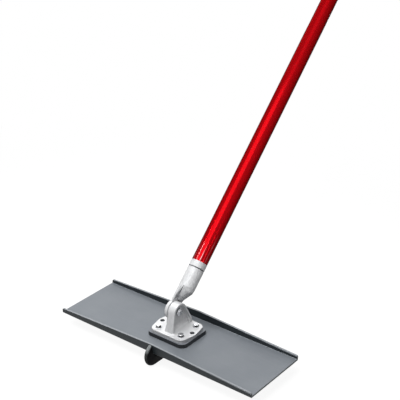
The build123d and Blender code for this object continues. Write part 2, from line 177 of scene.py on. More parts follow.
class TreeMaker:
    """Adds nodes to one node tree."""

    def __init__(self, tree: bpy.types.NodeTree) -> None:
        """Start on an emptied tree."""
        self.tree = tree
        self.tree.nodes.clear()

    def node(
        self,
        kind: str,
        settings: Optional[dict[str, Any]] = None,
        sockets: Optional[dict[Union[str, int], Any]] = None,
    ) -> bpy.types.Node:
        """Add a node.

        Args:
            kind: The node's type.
            settings: Its settings, set first.
            sockets: Values, readings or sockets for its inputs, by name or number; a list fills one
                input that takes several links.

        Returns:
            The new node.
        """
        node = self.tree.nodes.new(kind)
        for key, value in (settings or {}).items():
            setattr(node, key, value)
        for key, value in (sockets or {}).items():
            for single in value if isinstance(value, list) else [value]:
                if isinstance(single, Reading):
                    single = single.socket
                if isinstance(single, bpy.types.NodeSocket):
                    self.tree.links.new(single, node.inputs[key])
                else:
                    node.inputs[key].default_value = single
        return node

    def reading(self, socket: bpy.types.NodeSocket) -> Reading:
        """Wrap a socket for arithmetic."""
        return Reading(self, socket)

    def vector(self, x: Operand, y: Operand, z: Operand) -> bpy.types.NodeSocket:
        """Join three numbers into a vector."""
        return self.node("ShaderNodeCombineXYZ", None, {0: x, 1: y, 2: z}).outputs[0]


@dataclass(frozen=True)
class Pattern:
    """A noise over a surface.

    The scale counts repeats per metre. A stretch counts them by axis, after a turn, and the scale then
    stays at 1. The band is where the noise's patches fade in.
    """

    scale: float = 1.0
    octaves: float = 3.0
    fineness: float = 0.5
    stretch: Optional[Triple] = None
    turn: Triple = (0.0, 0.0, 0.0)
    band: Band = (0.0, 1.0)


@dataclass(frozen=True)
class Relief:
    """How far a height stands out, and how much of that shows."""

    depth: float
    strength: float


class Finisher(TreeMaker):
    """Builds one material's node tree."""

    def __init__(self, name: str) -> None:
        """Start an empty material.

        Args:
            name: The material's name.
        """
        self.material = bpy.data.materials.new(name)
        self.material.use_nodes = True
        super().__init__(self.material.node_tree)

    def place(self) -> bpy.types.NodeSocket:
        """The point on the piece, in the part's frame."""
        return self.node("ShaderNodeTexCoord").outputs["Object"]

    def split(self, vector: bpy.types.NodeSocket) -> dict[str, Reading]:
        """Take a vector apart by axis."""
        parts = self.node("ShaderNodeSeparateXYZ", None, {0: vector})
        return {axis: self.reading(parts.outputs[axis]) for axis in "XYZ"}

    def facing(self) -> dict[str, Reading]:
        """Which way the surface faces, by axis, in the part's frame."""
        return self.split(self.node("ShaderNodeTexCoord").outputs["Normal"])

    def axes(self) -> dict[str, Reading]:
        """The point's coordinates in metres, by axis."""
        return self.split(self.place())

    def noise(self, pattern: Pattern) -> Reading:
        """Read a pattern's noise.

        Args:
            pattern: Its settings.

        Returns:
            The noise, from 0 to 1.
        """
        place = self.place()
        if pattern.stretch is not None:
            turned = self.node("ShaderNodeMapping", None, {"Vector": place, "Rotation": pattern.turn})
            scaled = {"Vector": turned.outputs[0], "Scale": pattern.stretch}
            place = self.node("ShaderNodeMapping", None, scaled).outputs[0]
        node = self.node(
            "ShaderNodeTexNoise",
            {"noise_dimensions": "3D"},
            {
                "Vector": place,
                "Scale": pattern.scale,
                "Detail": pattern.octaves,
                "Roughness": pattern.fineness,
            },
        )
        return self.reading(node.outputs[0])

    def patches(self, pattern: Pattern) -> Reading:
        """A mask of a pattern's patches."""
        return self.noise(pattern).fade(*pattern.band)

    def mix(self, factor: Operand, low: Any, high: Any) -> bpy.types.NodeSocket:
        """Mix two colours.

        Args:
            factor: 0 for the first colour, 1 for the second.
            low: First colour, as three numbers or a socket.
            high: Second colour.

        Returns:
            The mixed colour.
        """
        first, second = (
            value if isinstance(value, bpy.types.NodeSocket) else opaque(value) for value in (low, high)
        )
        node = self.node(
            "ShaderNodeMix",
            {"data_type": "RGBA", "clamp_factor": True},
            {0: factor, 6: first, 7: second},
        )
        return node.outputs[2]

    def bump(self, height: Reading, relief: Relief) -> bpy.types.NodeSocket:
        """A surface normal shaped by a height.

        Args:
            height: From 0 to 1.
            relief: How far 1 stands out.

        Returns:
            The normal.
        """
        sockets = {"Height": height, "Distance": relief.depth, "Strength": relief.strength}
        return self.node("ShaderNodeBump", None, sockets).outputs[0]

    def surface(self, **sockets: Any) -> bpy.types.Material:
        """Finish with the main shader.

        Args:
            sockets: Its inputs, with _ for a space in their names.

        Returns:
            The material.
        """
        named = {key.replace("_", " "): value for key, value in sockets.items()}
        shader = self.node("ShaderNodeBsdfPrincipled", None, named)
        self.node("ShaderNodeOutputMaterial", None, {"Surface": shader.outputs[0]})
        return self.material


@dataclass(frozen=True)
class TubeLine:
    """The handle's middle line: how steeply it rises, and the height of the pivot that it runs through."""

    lean: float = math.radians(44.6)
    pivot_height: float = 77.0 * MM

    def axis(self) -> Vector:
        """The line's direction, up and back."""
        return Vector((0.0, math.cos(self.lean), math.sin(self.lean)))

    def upright(self) -> Triple:
        """The turn that stands the line upright."""
        return (math.pi / 2 - self.lean, 0.0, 0.0)

    def along(self, axes: dict[str, Reading]) -> Reading:
        """How far along the line a point lies, from the pivot."""
        rise = axes["Z"] - self.pivot_height
        return axes["Y"] * math.cos(self.lean) + rise * math.sin(self.lean)


@dataclass(frozen=True)
class BladeSteel:
    """Satin blade steel, with a fine grain along the blade and painted shade on its upright faces.

    The lips carry a painted highlight in a strip along their tops, which grows wider towards one end.
    """

    lip_middle: float
    lip_fall: float
    colour: Colour = (0.17, 0.187, 0.208)
    cloud: Colour = (0.187, 0.204, 0.224)
    grain: Colour = (0.248, 0.264, 0.284)
    # scale: the colour of the painted shade on the upright faces
    scale: Colour = (0.011, 0.0155, 0.0185)
    # Colour of the painted highlight on the lip tops
    painted_light_tone: Colour = (0.33, 0.347, 0.369)
    grain_lines: Pattern = Pattern(fineness=0.6, stretch=(14.0, 900.0, 900.0), band=(0.45, 0.75))
    clouds: Pattern = Pattern(scale=9.0, octaves=4.0, band=(0.35, 0.7))
    scuffs: Pattern = Pattern(
        octaves=2.0,
        stretch=(60.0, 9.0, 60.0),
        turn=(0.0, 0.0, 0.5),
        band=(0.68, 0.8),
    )
    grain_share: float = 0.25
    upright_band: Band = (0.75, 0.45)
    strip_least: float = 0.6 * MM
    strip_growth: float = 3.2 * MM
    growth_run: Band = (50.0 * MM, 320.0 * MM)
    strip_edge: Band = (1.0, 0.6)
    strip_shade_lift: float = 0.85
    painted_light_share: float = 0.6
    roughness: float = 0.46
    unevenness: float = 0.16
    scuff_gloss: float = 0.08
    metal: float = 0.15
    shine: float = 0.35
    relief: Relief = Relief(0.06 * MM, 0.5)

    def build(self) -> bpy.types.Material:
        """Make the material.

        Returns:
            The finished material.
        """
        make = Finisher("satin_blade_steel")
        grain = make.noise(self.grain_lines)
        colour = make.mix(make.patches(self.clouds), self.colour, self.cloud)
        colour = make.mix(grain.fade(*self.grain_lines.band) * self.grain_share, colour, self.grain)
        axes = make.axes()
        # Painted highlight in a strip along the lip tops, wider towards the +X end
        below_top = self.lip_middle - abs(axes["X"]) * self.lip_fall - axes["Z"]
        strip = self.strip_least + axes["X"].fade(*self.growth_run) * self.strip_growth
        lip_highlight = (below_top / strip).fade(*self.strip_edge)
        # Painted shade on every upright face, lifted where the lip-top highlight is painted
        dark = abs(make.facing()["Z"]).fade(*self.upright_band) * (1.0 - lip_highlight * self.strip_shade_lift)
        colour = make.mix(lip_highlight * self.painted_light_share, colour, self.painted_light_tone)
        gloss = make.patches(self.scuffs) * self.scuff_gloss
        return make.surface(
            Base_Color=make.mix(dark, colour, self.scale),
            Roughness=grain.around(self.roughness, self.unevenness) - gloss,
            Metallic=self.metal,
            Specular_IOR_Level=self.shine,
            Normal=make.bump(grain, self.relief),
        )


@dataclass(frozen=True)
class BitIron:
    """Near-black iron of the bit, its near-black partly painted shade, with a painted highlight down the
    keel's front, palest where its noses turn up.
    """

    # Near-black: partly the iron's own colour, partly painted shade on the bit's flanks
    colour: Colour = (0.006, 0.006, 0.007)
    cloud: Colour = (0.022, 0.023, 0.024)
    # Colour of the painted highlight on the nose's front
    painted_light_tone: Colour = (0.25, 0.264, 0.267)
    grit: Pattern = Pattern(scale=700.0, octaves=4.0, fineness=0.6)
    clouds: Pattern = Pattern(scale=40.0, band=(0.45, 0.8))
    keel_edge: Band = (5.98 * MM, 3.9 * MM)
    nose: Band = (2.0 * MM, 17.0 * MM)
    low_highlight: float = 0.18
    least_highlight: float = 0.75
    roughness: float = 0.6
    unevenness: float = 0.2
    keel_gloss: float = 0.08
    shine: float = 0.04
    relief: Relief = Relief(0.18 * MM, 0.5)

    def build(self) -> bpy.types.Material:
        """Make the material.

        Returns:
            The finished material.
        """
        make = Finisher("dark_bit_iron")
        cloud = make.noise(self.clouds)
        axes = make.axes()
        # Painted highlight down the front of the keel and nose, paler with height
        keel = abs(axes["X"]).fade(*self.keel_edge)
        keel = keel * axes["Z"].fade(*self.nose).between(self.low_highlight, 1.0)
        colour = make.mix(cloud.fade(*self.clouds.band), self.colour, self.cloud)
        return make.surface(
            Base_Color=make.mix(keel * cloud.between(self.least_highlight, 1.0), colour, self.painted_light_tone),
            Roughness=cloud.around(self.roughness, self.unevenness) - keel * self.keel_gloss,
            Specular_IOR_Level=self.shine,
            Normal=make.bump(make.noise(self.grit), self.relief),
        )


@dataclass(frozen=True)
class PadSteel:
    """Steel of the pad under the bracket: dark on its sides, and painted light on its up-facing ledge,
    nearly as pale as the blade.
    """

    colour: Colour = (0.017, 0.019, 0.022)
    cloud: Colour = (0.035, 0.038, 0.042)
    # Painted light: the colour of the up-facing ledge
    ledge: Colour = (0.165, 0.176, 0.196)
    grit: Pattern = Pattern(scale=500.0, octaves=4.0, fineness=0.6)
    clouds: Pattern = Pattern(scale=45.0, band=(0.4, 0.8))
    ledge_band: Band = (0.5, 0.85)
    roughness: float = 0.45
    unevenness: float = 0.2
    metal: float = 0.1
    shine: float = 0.3
    relief: Relief = Relief(0.12 * MM, 0.4)

    def build(self) -> bpy.types.Material:
        """Make the material.

        Returns:
            The finished material.
        """
        make = Finisher("dark_pad_steel")
        cloud = make.noise(self.clouds)
        side = make.mix(cloud.fade(*self.clouds.band), self.colour, self.cloud)
        return make.surface(
            # Painted light on up-facing faces over the dark sides
            Base_Color=make.mix(make.facing()["Z"].fade(*self.ledge_band), side, self.ledge),
            Roughness=cloud.around(self.roughness, self.unevenness),
            Metallic=self.metal,
            Specular_IOR_Level=self.shine,
            Normal=make.bump(make.noise(self.grit), self.relief),
        )


@dataclass(frozen=True, kw_only=True)
class CastAluminium(ABC):
    """Cast aluminium: a matt sandy skin, with painted light where it faces up and painted shade in each
    casting's own places.
    """

    name: str
    colour: Colour = (0.648, 0.653, 0.664)
    cloud: Colour = (0.508, 0.513, 0.524)
    # Painted light for up-facing faces
    bright: Colour = (0.7, 0.705, 0.715)
    # Colour of the painted shade
    shade_tone: Colour = (0.13, 0.135, 0.145)
    sand: Pattern = Pattern(scale=1100.0, fineness=0.65)
    clouds: Pattern = Pattern(scale=60.0, octaves=4.0, band=(0.35, 0.75))
    streaks: Pattern = Pattern(octaves=2.0, stretch=(330.0, 330.0, 22.0), band=(0.35, 0.7))
    cloud_share: float = 0.5
    streak_share: float = 0.5
    top_band: Band = (0.75, 0.95)
    roughness: float = 0.42
    unevenness: float = 0.25
    shade_roughness: float = 0.15
    side_metal: float = 0.06
    top_metal: float = 0.1
    shine: float = 0.35
    relief: Relief = Relief(0.16 * MM, 0.45)
    lap_edge: Band = (1.92 * MM, 1.28 * MM)
    lap_facing: Band = (0.95, 0.7)
    lap_shade: float = 0.8

    @abstractmethod
    def shade_mask(self, make: Finisher) -> Reading:
        """Where painted shade covers the skin."""

    def lap(self, make: Finisher, depth: Reading, reach: Reading) -> Reading:
        """Paint shade on the edge where two castings lap.

        Args:
            make: The material's maker.
            depth: How far a point lies behind the lapped face.
            reach: A mask of the lap's length.

        Returns:
            The mask.
        """
        edge = depth.fade(*self.lap_edge) * reach
        return edge * abs(make.facing()["X"]).fade(*self.lap_facing) * self.lap_shade

    def build(self) -> bpy.types.Material:
        """Make the material.

        Returns:
            The finished material.
        """
        make = Finisher(self.name)
        sand = make.noise(self.sand)
        # Painted light on what faces up; the mask below gives the painted shade
        top = make.facing()["Z"].fade(*self.top_band)
        shade_mask = self.shade_mask(make)
        dull = make.patches(self.clouds) * self.cloud_share + make.patches(self.streaks) * self.streak_share
        colour = make.mix(top, make.mix(dull, self.colour, self.cloud), self.bright)
        return make.surface(
            # Painted shade over the skin where the mask says
            Base_Color=make.mix(shade_mask, colour, self.shade_tone),
            Roughness=sand.around(self.roughness, self.unevenness) + shade_mask * self.shade_roughness,
            Metallic=top.between(self.side_metal, self.top_metal),
            Specular_IOR_Level=self.shine,
            Normal=make.bump(sand, self.relief),
        )


@dataclass(frozen=True, kw_only=True)
class BracketSkin(CastAluminium):
    """The bracket's skin, with painted shade on the plate's sides, in the spare holes and where the tongue
    laps.
    """

    top_metal: float = 0.3
    plate_top: float
    lap_x: float
    lap_bottom: float
    hole_x: float
    hole_y: float
    hole_radius: float
    hole_edge: Band = (1.15, 1.05)
    glint_streaks: Pattern = Pattern(octaves=2.0, stretch=(24.0, 24.0, 420.0), band=(0.5, 0.66))
    side_fade: float = 1.0 * MM
    side_shade: float = 0.5
    painted_light_share: float = 0.42
    upright_band: Band = (0.85, 0.5)
    lap_fade: float = 4.0 * MM

    def shade_mask(self, make: Finisher) -> Reading:
        """Paint shade on the plate's sides, broken by streaks of painted glints, on the walls of the spare
        holes and on the lap's edge.

        Args:
            make: The material's maker.

        Returns:
            The mask.
        """
        axes = make.axes()
        across = abs(axes["X"]) - self.hole_x
        along = axes["Y"] - self.hole_y
        # Painted shade on the walls of the spare holes
        in_hole = ((across * across + along * along) / self.hole_radius**2).fade(*self.hole_edge)
        low = axes["Z"].fade(self.plate_top, self.plate_top - self.side_fade)
        # Painted shade on the plate's sides, lifted in streaks by painted glints
        sides = low * (self.side_shade - make.patches(self.glint_streaks) * self.painted_light_share)
        upright = abs(make.facing()["Z"]).fade(*self.upright_band)
        reach = axes["Z"].fade(self.lap_bottom, self.lap_bottom + self.lap_fade)
        lap = self.lap(make, axes["X"] - self.lap_x, reach)
        return (sides.at_least(in_hole) * upright).at_least(lap)


@dataclass(frozen=True, kw_only=True)
class SocketSkin(CastAluminium):
    """The handle castings' skin, with painted shade by the pivot and underneath, on the seam and at the
    lap.
    """

    line: TubeLine
    seam: float
    seam_width: float
    tongue_side: float
    seam_edge: Band = (0.62, 0.5)
    gusset_shade_run: Band = (73.0 * MM, 47.0 * MM)
    side_fade: float = 1.0 * MM
    under_band: Band = (0.1, -0.5)
    shade_strength: float = 0.5
    lap_run: Band = (46.0 * MM, 38.0 * MM)

    def shade_mask(self, make: Finisher) -> Reading:
        """Paint shade on the seam, the gusset, what faces down and the tongue's edge at the lap.

        Args:
            make: The material's maker.

        Returns:
            The mask.
        """
        axes = make.axes()
        along = self.line.along(axes)
        seam = (abs(along - self.seam) / self.seam_width).fade(*self.seam_edge)
        beside = axes["X"].fade(self.tongue_side, self.tongue_side + self.side_fade)
        # Painted shade on the gusset by the pivot, and on what faces down
        gusset = along.fade(*self.gusset_shade_run) * beside
        under = make.facing()["Z"].fade(*self.under_band)
        lap = self.lap(make, self.tongue_side - axes["X"], along.fade(*self.lap_run))
        return (gusset.at_least(under) * self.shade_strength).at_least(seam).at_least(lap)


@dataclass(frozen=True)
class ZincPlate:
    """Bright plated steel of the fasteners and the spring, with painted shade that can cover the flats
    facing one side.
    """

    name: str
    colour: Colour = (0.66, 0.67, 0.69)
    dull: Colour = (0.5, 0.51, 0.53)
    # Colour of the painted shade on the flats
    flats: Colour = (0.008, 0.008, 0.009)
    flat_shade_share: float = 0.0
    clouds: Pattern = Pattern(scale=260.0, band=(0.4, 0.75))
    grain: Pattern = Pattern(scale=2600.0, octaves=2.0)
    upright_band: Band = (0.7, 0.3)
    side_band: Band = (-0.2, 0.3)
    roughness: float = 0.26
    unevenness: float = 0.2
    metal: float = 0.85
    flats_metal: float = 0.1
    relief: Relief = Relief(0.04 * MM, 0.4)

    def build(self) -> bpy.types.Material:
        """Make the material.

        Returns:
            The finished material.
        """
        make = Finisher(self.name)
        cloud = make.noise(self.clouds)
        facing = make.facing()
        upright = abs(facing["Z"]).fade(*self.upright_band)
        # Painted shade on the upright flats that face +X
        dark = upright * facing["X"].fade(*self.side_band) * self.flat_shade_share
        colour = make.mix(cloud.fade(*self.clouds.band), self.colour, self.dull)
        return make.surface(
            Base_Color=make.mix(dark, colour, self.flats),
            Roughness=cloud.around(self.roughness, self.unevenness),
            Metallic=dark.between(self.metal, self.flats_metal),
            Normal=make.bump(make.noise(self.grain), self.relief),
        )


@dataclass(frozen=True)
class RedTube:
    """Glossy red tube with faint draw lines along its length, and painted pink highlights in streaks above
    the collar.

    A weak tinted coat and a black edge tint paint shade on its rims.
    """

    line: TubeLine
    foot: float
    colour: Colour = (0.593, 0.0057, 0.012)
    deep: Colour = (0.49, 0.0046, 0.0091)
    edge: Colour = (0.0, 0.0, 0.0)
    lacquer: Colour = (0.6, 0.4, 0.4)
    lacquer_index: float = 1.03
    # Colour of the painted highlight streaks
    highlight_pink: Colour = (1.0, 0.75, 0.8)
    draw_lines: Pattern = Pattern(fineness=0.6, stretch=(420.0, 420.0, 2.0), band=(0.35, 0.7))
    clouds: Pattern = Pattern(scale=12.0, band=(0.4, 0.7))
    # Pattern of the painted highlight streaks
    scuffs: Pattern = Pattern(octaves=2.0, stretch=(310.0, 310.0, 9.0), band=(0.5, 0.66))
    line_share: float = 0.5
    cloud_share: float = 0.3
    highlight_share: float = 0.8
    highlight_reach: float = 65.0 * MM
    highlight_fall: float = 0.16
    roughness: float = 0.14
    unevenness: float = 0.08
    metal: float = 0.3
    shine: float = 0.0
    relief: Relief = Relief(0.006 * MM, 0.3)

    def build(self) -> bpy.types.Material:
        """Make the material.

        Returns:
            The finished material.
        """
        make = Finisher("red_tube_gloss")
        lines = make.noise(replace(self.draw_lines, turn=self.line.upright()))
        deep = lines.fade(*self.draw_lines.band) * self.line_share
        deep = deep + make.patches(self.clouds) * self.cloud_share
        glint_streaks = make.noise(replace(self.scuffs, turn=self.line.upright()))
        rise = self.line.along(make.axes()) - self.foot
        # Painted highlight streaks, fading up the tube from its foot
        tube_highlight = (glint_streaks - (rise / self.highlight_reach) * self.highlight_fall).fade(*self.scuffs.band)
        colour = make.mix(deep, self.colour, self.deep)
        return make.surface(
            Base_Color=make.mix(tube_highlight * self.highlight_share, colour, self.highlight_pink),
            Roughness=lines.around(self.roughness, self.unevenness),
            Metallic=self.metal,
            Specular_IOR_Level=self.shine,
            # Black edge tint and tinted coat: painted shade on the rims
            Specular_Tint=opaque(self.edge),
            Coat_Weight=1.0,
            Coat_IOR=self.lacquer_index,
            Coat_Tint=opaque(self.lacquer),
            Normal=make.bump(lines, self.relief),
        )


@dataclass(frozen=True)
class BlackRubber:
    """Matt black rubber of the end cap."""

    colour: Colour = (0.016, 0.016, 0.017)
    bloom: Colour = (0.04, 0.04, 0.042)
    grain: Pattern = Pattern(scale=1500.0)
    blooms: Pattern = Pattern(scale=90.0, band=(0.5, 0.8))
    bloom_share: float = 0.5
    roughness: float = 0.62
    unevenness: float = 0.2
    relief: Relief = Relief(0.1 * MM, 0.4)

    def build(self) -> bpy.types.Material:
        """Make the material.

        Returns:
            The finished material.
        """
        make = Finisher("black_rubber_matt")
        grain = make.noise(self.grain)
        return make.surface(
            Base_Color=make.mix(make.patches(self.blooms) * self.bloom_share, self.colour, self.bloom),
            Roughness=grain.around(self.roughness, self.unevenness),
            Normal=make.bump(grain, self.relief),
        )


class ShapeTree(TreeMaker):
    """Builds one Geometry Nodes tree with named sizes, and turns its result into a plain piece."""

    def __init__(self, name: str) -> None:
        """Start an empty tree that gives out a shape.

        Args:
            name: The piece's name.
        """
        group = bpy.data.node_groups.new(name, "GeometryNodeTree")
        super().__init__(group)
        self.name = name
        self.values: dict[str, Any] = {}
        group.interface.new_socket("Shape", in_out="OUTPUT", socket_type="NodeSocketGeometry")
        self.entry = self.node("NodeGroupInput")

    def size(self, name: str, value: Any, kind: str = "NodeSocketFloat") -> Reading:
        """Add a named input.

        Args:
            name: What the size is called.
            value: What it is set to on the piece.
            kind: The socket's type.

        Returns:
            The input, for use in the tree.
        """
        socket = self.tree.interface.new_socket(name, in_out="INPUT", socket_type=kind)
        self.values[socket.identifier] = value
        return self.reading(self.entry.outputs[name])

    def raised(self, shape: bpy.types.NodeSocket, height: Operand) -> bpy.types.NodeSocket:
        """Shift a shape up."""
        return self.moved(shape, self.vector(0.0, 0.0, height))

    def moved(self, shape: bpy.types.NodeSocket, by: bpy.types.NodeSocket) -> bpy.types.NodeSocket:
        """Shift a shape."""
        return self.node("GeometryNodeTransform", None, {"Geometry": shape, "Translation": by}).outputs[0]

    def piece(self, shape: bpy.types.NodeSocket, finish: bpy.types.Material) -> bpy.types.Object:
        """End the tree and make its result a plain mesh.

        Args:
            shape: What the tree gives out.
            finish: The material it wears.

        Returns:
            The new object, at the origin.
        """
        worn = self.size("Finish", finish, "NodeSocketMaterial")
        real = self.node("GeometryNodeRealizeInstances", None, {"Geometry": shape})
        dressed = self.node(
            "GeometryNodeSetMaterial",
            None,
            {"Geometry": real.outputs[0], "Material": worn},
        )
        self.node("NodeGroupOutput", None, {0: dressed.outputs[0]})
        made = bpy.data.objects.new(self.name, bpy.data.meshes.new(self.name + "_seed"))
        bpy.context.scene.collection.objects.link(made)
        modifier = made.modifiers.new("shape", "NODES")
        modifier.node_group = self.tree
        for identifier, value in self.values.items():
            modifier[identifier] = value
        evaluated = made.evaluated_get(bpy.context.evaluated_depsgraph_get())
        mesh = bpy.data.meshes.new_from_object(evaluated)
        mesh.name = self.name
        made.modifiers.clear()
        made.data = mesh
        return made


def dress(node: str, material: bpy.types.Material) -> None:
    """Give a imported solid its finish.

    Args:
        node: The solid's name.
        material: Its finish.
    """
    solid = frame["nodes"][node]
    solid.data.materials.clear()
    solid.data.materials.append(material)
    LOG.info("%s wears %s", node, material.name)


@dataclass
class CuttingBlade:
    """The folded blade, the groove bit under it and the screws between them."""

    half_length: float = 317.5 * MM
    lip_height_end: float = 14.4 * MM
    lip_height_middle: float = 26.4 * MM
    screws: int = 3

    def build(self) -> None:
        """Dress the blade, the bit and its screws."""
        fall = (self.lip_height_middle - self.lip_height_end) / self.half_length
        dress("blade", BladeSteel(self.lip_height_middle, fall).build())
        dress("groove_bit", BitIron().build())
        zinc = ZincPlate("zinc_bit_screws").build()
        for index in range(1, self.screws + 1):
            dress(f"bit_screw_{index}", zinc)


@dataclass
class Bracket:
    """The pad on the blade, the cast bracket on it, and the bolts and washers that clamp them."""

    middle_y: float = 6.0 * MM
    plate_top: float = 24.8 * MM
    plate_edge: float = 1.4 * MM
    lap_x: float = -7.0 * MM
    skirt_rise: float = 24.0 * MM
    bolt_spacing_x: float = 76.2 * MM
    bolt_spacing_y: float = 62.5 * MM
    bolt_hex: float = 14.3 * MM
    bolt_head_height: float = 6.0 * MM
    bolt_crown: float = 0.94
    bolt_crown_slope: float = math.radians(30.0)
    crown_overrun: float = 0.2
    crown_facets: int = 48
    shank_radius: float = 4.75 * MM
    shank_length: float = 19.1 * MM
    shank_facets: int = 32
    washer_radius: float = 9.2 * MM
    washer_hole: float = 5.15 * MM
    washer_thickness: float = 1.6 * MM
    washer_edge: float = 0.35 * MM
    washer_facets: int = 64
    edge_facets: int = 3
    turn: float = math.radians(25.0)
    seed: int = 4
    spare_hole_x: float = 50.8 * MM
    spare_hole_radius: float = 6.35 * MM
    fasteners: int = 4

    def seats(self, tree: ShapeTree, level: float) -> bpy.types.NodeSocket:
        """Points at the four bolt holes.

        Args:
            tree: The tree they are added to.
            level: Their height.

        Returns:
            A grid of two by two points.
        """
        grid = tree.node(
            "GeometryNodeMeshGrid",
            None,
            {
                "Size X": tree.size("Spacing X", self.bolt_spacing_x),
                "Size Y": tree.size("Spacing Y", self.bolt_spacing_y),
                "Vertices X": 2,
                "Vertices Y": 2,
            },
        )
        middle = tree.vector(0.0, tree.size("Middle Y", self.middle_y), tree.size("Level", level))
        return tree.moved(grid.outputs[0], middle)

    def head(self, tree: ShapeTree) -> bpy.types.NodeSocket:
        """A bolt's head: six flats, cut round at the top by a flat cone.

        Args:
            tree: The tree it is added to.

        Returns:
            The head, on its seat.
        """
        flats = tree.size("Across Flats", self.bolt_hex)
        height = tree.size("Head Height", self.bolt_head_height)
        slope = tree.size("Crown Slope", 1.0 / math.tan(self.bolt_crown_slope))
        crown = flats * 0.5 * tree.size("Crown Share", self.bolt_crown)
        prism = tree.node(
            "GeometryNodeMeshCylinder",
            None,
            {"Vertices": 6, "Radius": flats / math.sqrt(3.0), "Depth": height},
        )
        # The cone runs past both ends of the prism, so that no two faces share a plane
        cone = tree.node(
            "GeometryNodeMeshCone",
            None,
            {
                "Vertices": self.crown_facets,
                "Radius Top": crown - height * slope * self.crown_overrun,
                "Radius Bottom": crown + height * slope * (1.0 + self.crown_overrun),
                "Depth": height * (1.0 + 2.0 * self.crown_overrun),
            },
        )
        raised = tree.raised(prism.outputs[0], height * 0.5)
        lowered = tree.raised(cone.outputs[0], height * -self.crown_overrun)
        cut = {"Mesh 2": [raised, lowered]}
        return tree.node("GeometryNodeMeshBoolean", {"operation": "INTERSECT"}, cut).outputs[0]

    def bolts(self) -> bpy.types.Object:
        """Make the hexagon bolts: a head on a plain shank, each turned by its own angle.

        Returns:
            All four as one piece.
        """
        tree = ShapeTree("bracket_bolt_set")
        head = self.head(tree)
        length = tree.size("Shank Length", self.shank_length)
        radius = tree.size("Shank Radius", self.shank_radius)
        turn = tree.size("Turn", self.turn)
        rod = tree.node(
            "GeometryNodeMeshCylinder",
            None,
            {"Vertices": self.shank_facets, "Radius": radius, "Depth": length},
        )
        shank = tree.raised(rod.outputs[0], length * -0.5)
        bolt = tree.node("GeometryNodeJoinGeometry", None, {0: [head, shank]})
        angle = tree.node(
            "FunctionNodeRandomValue",
            {"data_type": "FLOAT"},
            {2: -turn, 3: turn, "Seed": tree.size("Seed", self.seed, "NodeSocketInt")},
        )
        placed = tree.node(
            "GeometryNodeInstanceOnPoints",
            None,
            {
                "Points": self.seats(tree, self.plate_top + self.washer_thickness),
                "Instance": bolt.outputs[0],
                "Rotation": tree.vector(0.0, 0.0, tree.reading(angle.outputs[1])),
            },
        )
        return tree.piece(placed.outputs[0], ZincPlate("zinc_bolt_heads", flat_shade_share=1.0).build())

    def washers(self) -> bpy.types.Object:
        """Make the flat washers, with rolled edges.

        Returns:
            All four as one piece.
        """
        tree = ShapeTree("bracket_washer_set")
        outer = tree.size("Radius", self.washer_radius)
        hole = tree.size("Hole Radius", self.washer_hole)
        thick = tree.size("Thickness", self.washer_thickness)
        edge = tree.size("Edge Radius", self.washer_edge)
        circle = tree.node(
            "GeometryNodeCurvePrimitiveCircle",
            None,
            {"Resolution": self.washer_facets, "Radius": (outer + hole) * 0.5},
        )
        level = tree.node("GeometryNodeSetCurveNormal", {"mode": "Z_UP"}, {"Curve": circle.outputs[0]})
        band = tree.node(
            "GeometryNodeCurvePrimitiveQuadrilateral",
            None,
            {"Width": outer - hole, "Height": thick},
        )
        rolled = tree.node(
            "GeometryNodeFilletCurve",
            {"mode": "POLY"},
            {"Curve": band.outputs[0], "Count": self.edge_facets, "Radius": edge},
        )
        ring = tree.node(
            "GeometryNodeCurveToMesh",
            None,
            {"Curve": level.outputs[0], "Profile Curve": rolled.outputs[0]},
        )
        placed = tree.node(
            "GeometryNodeInstanceOnPoints",
            None,
            {
                "Points": self.seats(tree, self.plate_top),
                "Instance": tree.raised(ring.outputs[0], thick * 0.5),
            },
        )
        return tree.piece(placed.outputs[0], ZincPlate("zinc_washers").build())

    def fasten(self, piece: bpy.types.Object, stem: str) -> None:
        """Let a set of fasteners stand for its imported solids.

        Args:
            piece: The set.
            stem: What the solids' names begin with.
        """
        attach(piece, Body.HEAD.value)
        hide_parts(*(f"{stem}_{index}" for index in range(1, self.fasteners + 1)))
        LOG.info("%s stands for %d solids", piece.name, self.fasteners)

    def build(self) -> None:
        """Dress the pad and the casting, and make the fasteners."""
        dress("mounting_pad", PadSteel().build())
        screws = ZincPlate("zinc_pad_screws").build()
        for index in range(1, self.fasteners + 1):
            dress(f"pad_screw_{index}", screws)
        skin = BracketSkin(
            name="cast_bracket_skin",
            plate_top=self.plate_top - self.plate_edge,
            lap_x=self.lap_x,
            lap_bottom=self.plate_top + self.skirt_rise,
            hole_x=self.spare_hole_x,
            hole_y=self.middle_y,
            hole_radius=self.spare_hole_radius,
        )
        dress("bracket_base", skin.build())
        self.fasten(self.bolts(), "bracket_bolt")
        self.fasten(self.washers(), "bracket_washer")


@dataclass
class Pivot:
    """The bolt, nut and washers that the handle tilts on."""

    nodes: tuple[str, ...] = ("pivot_bolt", "pivot_washer", "pivot_lock_washer", "pivot_nut")

    def build(self) -> None:
        """Dress the pivot's fasteners."""
        zinc = ZincPlate("zinc_pivot").build()
        for node in self.nodes:
            dress(node, zinc)


